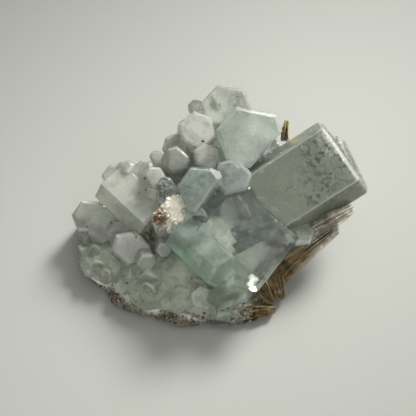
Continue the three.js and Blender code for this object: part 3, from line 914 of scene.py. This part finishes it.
def veil_sheet(rows, first_seed):
    """Wavy sheets, kept only where they lie inside the crystals."""
    sheet = bmesh.new()
    for seed, (at, facing, (width, height)) in enumerate(rows, first_seed):
        place = FRONT @ Matrix.Translation(at) @ along(facing, VEIL_LEAN)
        offset = Vector((seed * 3.7, seed * 9.1, 0))
        grid = {}
        for i in range(VEIL_CELLS + 1):
            for j in range(VEIL_CELLS + 1):
                u = (i / VEIL_CELLS - 0.5) * width
                v = (j / VEIL_CELLS - 0.5) * height
                lift = 1.2 * noise.noise(Vector((u, v, 0)) * 0.35 + offset)
                reach = math.hypot(2 * u / width, 2 * v / height)
                ragged = 0.8 + 0.5 * noise.noise(Vector((u, v, 4)) * 0.7 + offset)
                spot = place @ Vector((u, v, lift))
                if reach < ragged and depth_inside(cluster_surface, spot) > VEIL_COVER * MM:
                    grid[i, j] = sheet.verts.new(spot)
        for i, j in grid:
            cell = [grid.get(key) for key in ((i, j), (i + 1, j), (i + 1, j + 1), (i, j + 1))]
            if all(cell):
                sheet.faces.new(cell)
    return as_mesh(sheet, "veil_sheet")


def plate_mesh(corners, thickness, seed):
    """A thin closed plate with a ragged outline, one unit across."""
    chance = random.Random(seed)
    outline = []
    for k in range(corners):
        turn = 2 * math.pi * k / corners
        reach = 0.5 * chance.uniform(0.7, 1.0)
        outline.append((reach * math.cos(turn), reach * math.sin(turn)))
    return ring_mesh([[(x, y, z) for x, y in outline] for z in (-thickness / 2, thickness / 2)])


def new_recipe(name, inputs):
    recipe = bpy.data.node_groups.new(name, "GeometryNodeTree")
    recipe.interface.new_socket("Geometry", in_out="INPUT", socket_type="NodeSocketGeometry")
    for label, kind in inputs:
        recipe.interface.new_socket(label, in_out="INPUT", socket_type="NodeSocket" + kind)
    recipe.interface.new_socket("Geometry", in_out="OUTPUT", socket_type="NodeSocketGeometry")
    return recipe, node(recipe, "NodeGroupInput"), node(recipe, "NodeGroupOutput")


def random_between(tree, kind, given, low, high, seed_step):
    """A random value for each point; low and high are input names or plain values."""
    seed = node(tree, "ShaderNodeMath", {0: given.outputs["Seed"], 1: seed_step}, operation="ADD")
    low_input, high_input, output = {"FLOAT": (2, 3, 1), "FLOAT_VECTOR": (0, 1, 0)}[kind]
    low, high = (given.outputs[v] if isinstance(v, str) else v for v in (low, high))
    return node(tree, "FunctionNodeRandomValue", {
        low_input: low, high_input: high, "Seed": seed.outputs["Value"],
    }, data_type=kind).outputs[output]


def finish_instances(tree, given, result, instances):
    """Gives every instance a random tone, makes it real mesh and sets its material."""
    toned = node(tree, "GeometryNodeStoreNamedAttribute", {
        "Geometry": instances, "Name": "tone",
        "Value": random_between(tree, "FLOAT", given, 0.0, 1.0, 7),
    }, data_type="FLOAT", domain="INSTANCE")
    real = node(tree, "GeometryNodeRealizeInstances", {"Geometry": toned.outputs["Geometry"]})
    coated = node(tree, "GeometryNodeSetMaterial", {
        "Geometry": real.outputs["Geometry"], "Material": given.outputs["Finish"],
    })
    feed(tree, result, {"Geometry": coated.outputs["Geometry"]})


def scatter_recipe():
    """Scatters a grain over a carrier's faces, turned and sized at random."""
    tree, given, result = new_recipe("scatter", [
        ("Grain", "Object"), ("Density", "Float"), ("Smallest", "Float"), ("Largest", "Float"),
        ("Lean", "Vector"), ("Back lean", "Vector"), ("Seed", "Int"), ("Finish", "Material"),
    ])
    share = node(tree, "GeometryNodeInputNamedAttribute", {"Name": "share"}, data_type="FLOAT")
    amount = product(tree, given.outputs["Density"], share.outputs["Attribute"])
    points = node(tree, "GeometryNodeDistributePointsOnFaces", {
        "Mesh": given.outputs["Geometry"], "Density": amount, "Seed": given.outputs["Seed"],
    }, distribute_method="RANDOM")
    grain = node(tree, "GeometryNodeObjectInfo", {
        "Object": given.outputs["Grain"],
    }, transform_space="ORIGINAL")
    lean = node(tree, "FunctionNodeEulerToRotation", {
        "Euler": random_between(tree, "FLOAT_VECTOR", given, "Back lean", "Lean", 1),
    })
    turned = node(tree, "FunctionNodeRotateRotation", {
        "Rotation": points.outputs["Rotation"], "Rotate By": lean.outputs["Rotation"],
    }, rotation_space="LOCAL")
    spread = node(tree, "GeometryNodeInstanceOnPoints", {
        "Points": points.outputs["Points"], "Instance": grain.outputs["Geometry"],
        "Rotation": turned.outputs["Rotation"],
        "Scale": random_between(tree, "FLOAT", given, "Smallest", "Largest", 2),
    })
    finish_instances(tree, given, result, spread.outputs["Instances"])
    return tree


def grown(name, carrier, recipe, **settings):
    """The carrier's mesh after a recipe has grown on it, as a plain piece. A lean or a slip goes as
    far back as it goes forward."""
    for limit in ("lean", "slip"):
        if limit in settings:
            settings["back_" + limit] = tuple(-part for part in settings[limit])
    piece = place_piece(name, carrier)
    growth = piece.modifiers.new("growth", "NODES")
    growth.node_group = recipe
    for item in recipe.interface.items_tree:
        key = item.name.lower().replace(" ", "_")
        if item.in_out == "INPUT" and key in settings:
            growth[item.identifier] = settings[key]
    return settled(piece)


def set_share(mesh, shares=None):
    """How thickly each point of a carrier is scattered over, from 0 to 1."""
    share = mesh.attributes.new("share", "FLOAT", "POINT")
    for i in range(len(mesh.vertices)):
        share.data[i].value = 1 if shares is None else shares[i]
    return mesh


def toned_finish(name, tones, roughness, smooth=True):
    """A finish whose colour follows the random tone of each grain, plate or blade."""
    finish, tree, shader = new_finish(name)
    colour = colour_by(tree, attribute(tree, "tone"), tones, smooth)
    feed(tree, shader, {"Base Color": colour, "Roughness": roughness})
    return finish


scatter = scatter_recipe()
HALF_TURN = (math.pi, math.pi, math.pi)

white_plates = toned_finish(
    "white_plates", [(0.0, (0.62, 0.68, 0.62)), (1.0, (0.86, 0.88, 0.84))], 0.4
)
dark_specks = toned_finish(
    "dark_specks", [(0.0, (0.025, 0.028, 0.02)), (1.0, (0.12, 0.13, 0.1))], 0.5
)
plate = bpy.data.objects.new("plate", plate_mesh(6, 0.1, 5))
white_veils = grown(
    "healed_veils", set_share(veil_sheet(WHITE_VEILS, WHITE_SEED)), scatter, grain=plate,
    density=9.0e6, smallest=0.1 * MM, largest=0.4 * MM, lean=(0.5, 0.5, math.pi), seed=3,
    finish=white_plates,
)
dark_veils = grown(
    "dark_veils", set_share(veil_sheet(DARK_VEILS, DARK_SEED)), scatter, grain=plate,
    density=7.0e6, smallest=0.08 * MM, largest=0.34 * MM, lean=HALF_TURN, seed=4,
    finish=dark_specks,
)
for veils in (white_veils, dark_veils):
    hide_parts("aquamarine_cluster")
    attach(veils, "root")

# The rosette: a tuft of cream albite blades between the left and middle crystals, stained brown
# along its lower left, with a few glassy grains.
ROSETTE_GRAINS = [
    ((-7.4, 0.4, 7.4), (2.1, 2.1, 2.1)), ((-6.8, -2.2, 7.6), (2.1, 1.9, 2.1)),
    ((-8.8, -1.2, 7.4), (2.3, 1.9, 1.9)), ((-10.4, -2.6, 6.6), (2.1, 1.9, 1.9)),
    ((-8, -3.8, 7.4), (1.9, 1.5, 1.7)),
]
RUSTY_PLACE = (-10.9, -2.2, 7.6)
CORE_SHARE = 0.95
CORE_VOXEL = 0.25 * MM
sugar_white, tree, shader = new_finish("stained_sugar")
cream = colour_by(tree, attribute(tree, "tone"), [
    (0.0, (0.9, 0.85, 0.72)), (0.4, (0.97, 0.95, 0.87)), (1.0, (1.0, 0.99, 0.95)),
])
rust = colour_by(tree, attribute(tree, "tone"), [
    (0.0, (0.13, 0.075, 0.025)), (1.0, (0.42, 0.29, 0.13)),
])
rusty = near_place(tree, RUSTY_PLACE, 1.2, 3.4)
feed(tree, shader, {"Base Color": mixed(tree, rusty, cream, rust), "Roughness": 0.6})
relief_of(tree, object_noise(tree, 2600, 4, 0.6), 0.4, 0.0002)


def front_ball(at, size, seed, relief, ripple, detail):
    mesh = rough_ball((0, 0, 0), (1, 1, 1), seed, relief, ripple, detail)
    for vertex in mesh.vertices:
        spot = vertex.co / MM - ORIGIN_SHIFT
        vertex.co = FRONT @ (Vector(at) + Vector(c * s for c, s in zip(spot, size)))
    return mesh


core = fused("albite_rosette_core", [
    front_ball(at, [CORE_SHARE * s for s in size], 60 + i, 0.12, 2.4, 4)
    for i, (at, size) in enumerate(ROSETTE_GRAINS)
], CORE_VOXEL)
core.data.materials.append(sugar_white)

blade_mesh = plate_mesh(5, 0.16, 8)
for vertex in blade_mesh.vertices:
    vertex.co = Vector((vertex.co.z * 1.2, vertex.co.y * 0.5, vertex.co.x + 0.22))
blade = bpy.data.objects.new("blade", blade_mesh)
blades = grown(
    "albite_blades", set_share(core.data.copy()), scatter, grain=blade, density=2.6e6,
    smallest=0.7 * MM, largest=1.6 * MM, lean=(0.8, 0.8, math.pi), seed=9, finish=sugar_white,
)
for piece in (core, blades):
    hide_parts("albite_rosette")
    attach(piece, "root")

# The mica: books of brown muscovite down the right side, stacks of thin six-sided leaves that split
# apart at their edges. Two of them spread like fans.
MICA_BOOKS = [
    # name, middle, long way, across the leaves, length width thickness, leaves, fan, seed
    (
        "muscovite_upper", (29, -2.6, 3.2), (0.85, 0.5, 0.05), (0.5, -0.85, 0.12),
        (11, 7, 3.4), 40, 0.1, 11,
    ),
    (
        "muscovite_long", (24.4, -9.1, 1.4), (0.79, 0.61, 0), (0.61, -0.78, 0.1),
        (16, 7, 3.6), 42, 0.1, 12,
    ),
    (
        "muscovite_lower", (19.2, -12.8, 2.2), (0.76, 0.65, 0), (0.65, -0.75, 0.1),
        (13.4, 7, 4.2), 46, 0.16, 13,
    ),
    (
        "muscovite_fan_left", (12.8, -18.6, 3.4), (0.62, -0.78, 0), (0.78, 0.6, 0.15),
        (7.4, 6, 3.4), 40, 0.24, 14,
    ),
    (
        "muscovite_fan_right", (16, -17, 2), (0.3, -0.95, 0), (0.95, 0.3, 0.1),
        (8.8, 6, 3), 38, 0.2, 15,
    ),
    (
        "muscovite_foot", (11.4, -23.8, 2.8), (0.98, 0.12, 0), (-0.12, 0.98, 0.05),
        (9, 6, 3), 36, 0.22, 16,
    ),
    (
        "muscovite_back", (18.4, 18.2, -1), (0.1, 1, 0), (0.98, -0.1, 0.2),
        (5, 5, 1.4), 20, 0.1, 17,
    ),
]
LEAF_THICKNESS = 0.055
LEAF_POINTS = 30
LEAF_WAVE = 0.14
# The upper and long books get silver leaves, whose palest tones are partly painted glints.
SILVER_AND_GLINT_BOOKS = ("muscovite_upper", "muscovite_long")


def book_recipe():
    """Stacks a leaf into a book: each leaf slips, turns and leans a little off the last."""
    tree, given, result = new_recipe("book", [
        ("Leaf", "Object"), ("Leaves", "Int"), ("Thickness", "Float"), ("Slip", "Vector"),
        ("Back slip", "Vector"), ("Smallest", "Vector"), ("Largest", "Vector"),
        ("Lean", "Vector"), ("Back lean", "Vector"), ("Fan", "Float"), ("Seed", "Int"),
        ("Finish", "Material"),
    ])
    thickness, leaves, fan = (given.outputs[name] for name in ("Thickness", "Leaves", "Fan"))
    lowest = node(tree, "ShaderNodeCombineXYZ", {"Z": product(tree, thickness, -0.5)})
    highest = node(tree, "ShaderNodeCombineXYZ", {"Z": product(tree, thickness, 0.5)})
    line = node(tree, "GeometryNodeMeshLine", {
        "Count": leaves, "Start Location": lowest.outputs["Vector"],
        "Offset": highest.outputs["Vector"],
    }, mode="END_POINTS")
    slipped = node(tree, "GeometryNodeSetPosition", {
        "Geometry": line.outputs["Mesh"],
        "Offset": random_between(tree, "FLOAT_VECTOR", given, "Back slip", "Slip", 1),
    })
    index = node(tree, "GeometryNodeInputIndex")
    last = node(tree, "ShaderNodeMath", {0: leaves, 1: 1.0}, operation="SUBTRACT")
    fanned = node(tree, "ShaderNodeMapRange", {
        "Value": index.outputs["Index"], "From Max": last.outputs["Value"],
        "To Min": product(tree, fan, -1.0), "To Max": fan,
    })
    fan_turn = node(tree, "ShaderNodeCombineXYZ", {"Y": fanned.outputs["Result"]})
    leaning = node(tree, "ShaderNodeVectorMath", {
        0: fan_turn.outputs["Vector"],
        1: random_between(tree, "FLOAT_VECTOR", given, "Back lean", "Lean", 2),
    }, operation="ADD")
    turned = node(tree, "FunctionNodeEulerToRotation", {"Euler": leaning.outputs["Vector"]})
    leaf = node(tree, "GeometryNodeObjectInfo", {
        "Object": given.outputs["Leaf"],
    }, transform_space="ORIGINAL")
    stack = node(tree, "GeometryNodeInstanceOnPoints", {
        "Points": slipped.outputs["Geometry"], "Instance": leaf.outputs["Geometry"],
        "Rotation": turned.outputs["Rotation"],
        "Scale": random_between(tree, "FLOAT_VECTOR", given, "Smallest", "Largest", 3),
    })
    finish_instances(tree, given, result, stack.outputs["Instances"])
    return tree


def leaf_object(seed):
    """A mica leaf one unit across: six-sided, torn along its edge and slightly wavy."""
    chance = random.Random(seed)
    rows = []
    for k in range(LEAF_POINTS):
        turn = 2 * math.pi * k / LEAF_POINTS
        corner = (turn + PRISM_TURN / 2) % PRISM_TURN - PRISM_TURN / 2
        reach = 0.47 / math.cos(corner) * chance.uniform(0.86, 1.04)
        rows.append((math.cos(turn) * reach, math.sin(turn) * reach))
    sheet = bmesh.new()
    sides = []
    for z in (-0.5, 0.5):
        rings = []
        for share in (1.0, 0.5):
            rings.append([sheet.verts.new((x * share, y * share, z)) for x, y in rows])
        middle = sheet.verts.new((0, 0, z))
        for k in range(LEAF_POINTS):
            m = (k + 1) % LEAF_POINTS
            outer, inner = rings
            ring_face = (outer[k], outer[m], inner[m], inner[k])
            tip = (inner[k], inner[m], middle)
            for corners in (ring_face, tip):
                sheet.faces.new(corners if z > 0 else corners[::-1])
        sides.append(rings[0])
    for k in range(LEAF_POINTS):
        m = (k + 1) % LEAF_POINTS
        sheet.faces.new((sides[0][k], sides[0][m], sides[1][m], sides[1][k]))
    return bpy.data.objects.new("leaf", as_mesh(sheet, "leaf"))


LEAF_TONES = {
    "brown_mica": [
        (0.0, (0.04, 0.028, 0.012)), (0.25, (0.13, 0.085, 0.028)), (0.5, (0.3, 0.2, 0.065)),
        (0.75, (0.5, 0.37, 0.15)), (1.0, (0.8, 0.7, 0.42)),
    ],
    # Silver leaves; the near-white ones are partly painted glints.
    "silver_mica": [
        (0.0, (0.06, 0.045, 0.022)), (0.18, (0.3, 0.24, 0.13)), (0.36, (0.62, 0.57, 0.42)),
        (0.6, (0.88, 0.86, 0.76)), (1.0, (1.0, 1.0, 0.96)),
    ],
}
leaf_finishes = {}
for finish_name, leaf_tones in LEAF_TONES.items():
    mica, tree, shader = new_finish(finish_name)
    leaf_finishes[finish_name] = mica
    leaf_colours = colour_by(tree, attribute(tree, "tone"), leaf_tones, smooth=False)
    flecks = colour_by(tree, object_noise(tree, 1100, 5, 0.7), [
        (0.38, (0.5, 0.45, 0.38)), (0.62, WHITE),
    ])
    feed(tree, shader, {
        "Base Color": mixed(tree, 1.0, leaf_colours, flecks, "MULTIPLY"), "Roughness": 0.22,
        "Metallic": 0.35, "Coat Weight": 0.35, "Coat Roughness": 0.15,
    })
    relief_of(tree, object_noise(tree, 1500, 5, 0.65), 0.5, 0.0002)

book = book_recipe()
for name, at, long_way, across, (length, width, thickness), leaves, fan, seed in MICA_BOOKS:
    leaf = leaf_object(seed)
    stack = grown(
        name + "_leaves", bpy.data.meshes.new("seed_point"), book, leaf=leaf, leaves=leaves,
        thickness=thickness, smallest=(0.86 * length, 0.86 * width, LEAF_THICKNESS),
        largest=(1.02 * length, 1.02 * width, LEAF_THICKNESS * 1.6), slip=(0.35, 0.3, 0),
        lean=(0.05, 0.03, 0.1), fan=fan, seed=seed,
        finish=leaf_finishes["silver_mica" if name in SILVER_AND_GLINT_BOOKS else "brown_mica"],
    )
    discard(leaf)
    place = FRONT @ Matrix.Translation(at) @ along(across, long_way)
    for vertex in stack.data.vertices:
        x, y, z = vertex.co
        wave = LEAF_WAVE * noise.noise(Vector((x * 0.45, y * 0.45, 0.25 * z + seed)))
        vertex.co = place @ Vector((x, y, z + wave))
        vertex.co.z = max(vertex.co.z, 0.1 * MM)
    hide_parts(name)
    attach(stack, "root")

# Loose grains: sand, rust and black mica caught on the bare crust, and single grains that sit on
# the crystals.
grain_mesh = rough_ball((0, 0, 0), (0.54, 0.45, 0.38), 77, 0.3, 2.2, 1)
for vertex in grain_mesh.vertices:
    vertex.co = vertex.co / MM - ORIGIN_SHIFT
grain = bpy.data.objects.new("grain", grain_mesh)
sand = toned_finish("stuck_sand", [
    (0.0, (0.02, 0.017, 0.012)), (0.25, (0.075, 0.055, 0.03)), (0.45, (0.2, 0.13, 0.055)),
    (0.62, (0.15, 0.14, 0.1)), (0.85, (0.27, 0.26, 0.21)), (1.0, (0.5, 0.48, 0.4)),
], 0.45, smooth=False)
relief_of(sand.node_tree, object_noise(sand.node_tree, 2400, 4, 0.6), 0.5, 0.0002)
bareness = [sample.value for sample in bare.data]
crust_grains = grown(
    "crust_grains", set_share(crust_mesh.copy(), bareness), scatter, grain=grain, density=3e6,
    smallest=0.25 * MM, largest=0.85 * MM, lean=HALF_TURN, seed=21, finish=sand,
)
for vertex in crust_grains.data.vertices:
    vertex.co.z = max(vertex.co.z, 0)
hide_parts("albite_matrix")
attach(crust_grains, "root")

# Single grains on the crystals, each on the face that is seen in line with its place on the front.
GRAINS_ON_CRYSTALS = [
    # right and up on the crystal front, size in millimetres, tone of the grain
    (-1.2, 15.7, 0.75, 0.0), (-0.9, -24.7, 0.8, 0.02), (-1.2, -25.6, 0.7, 0.0),
    (-2.4, -25.4, 1.1, 0.45), (-3.3, -24.9, 0.7, 0.5), (-19, -17.6, 0.85, 0.42),
    (-13.6, -6.6, 0.8, 0.4), (-13.5, -7.3, 0.6, 0.45), (-12.7, -10.6, 0.7, 0.42),
    (-14.8, 7, 0.8, 0.5), (-28.4, -4.5, 0.5, 0.1), (-22.8, -3.4, 0.5, 0.1),
    (-16.9, -6.8, 0.5, 0.05), (-28.2, -9.2, 0.9, 0.9), (-11.4, 0.8, 0.6, 0.48),
    (-21.6, -3, 0.4, 0.1),
]
crystal_surfaces = [
    BVHTree.FromPolygons(
        [vertex.co for vertex in body.data.vertices], [face.vertices for face in body.data.polygons]
    )
    for body in (right, milky, back, middle, upper_left, left, lower, crust)
]
chance = random.Random(91)
stuck = bmesh.new()
stuck_tones = []
for x, y, size, grain_tone in GRAINS_ON_CRYSTALS:
    eye = camera.location
    sight = (FRONT @ Vector((x, y, 0)) - eye).normalized()
    hits = [hit for hit in (tree.ray_cast(eye, sight) for tree in crystal_surfaces) if hit[0]]
    if not hits:
        continue
    spot = min(hits, key=lambda hit: hit[3])[0]
    turn = Matrix.Rotation(chance.uniform(0, math.pi), 4, Vector((1, chance.uniform(-1, 1), 0.4)))
    for vertex in bmesh.ops.create_icosphere(stuck, subdivisions=2, radius=1)["verts"]:
        knob = 1 + 0.35 * noise.noise(vertex.co * 1.6 + Vector((x, y, 0)))
        lump = turn @ Vector(c * s for c, s in zip(vertex.co, (0.5, 0.38, 0.3)))
        vertex.co = spot + lump * knob * size * MM
        stuck_tones.append(grain_tone)
stuck_mesh = as_mesh(stuck, "single_grains")
tones = stuck_mesh.attributes.new("tone", "FLOAT", "POINT")
for i, grain_tone in enumerate(stuck_tones):
    tones.data[i].value = grain_tone
stuck_mesh.materials.append(sand)
single_grains = place_piece("single_grains", stuck_mesh)
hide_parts("albite_matrix")
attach(single_grains, "root")

for template in (plate, blade, grain):
    discard(template)
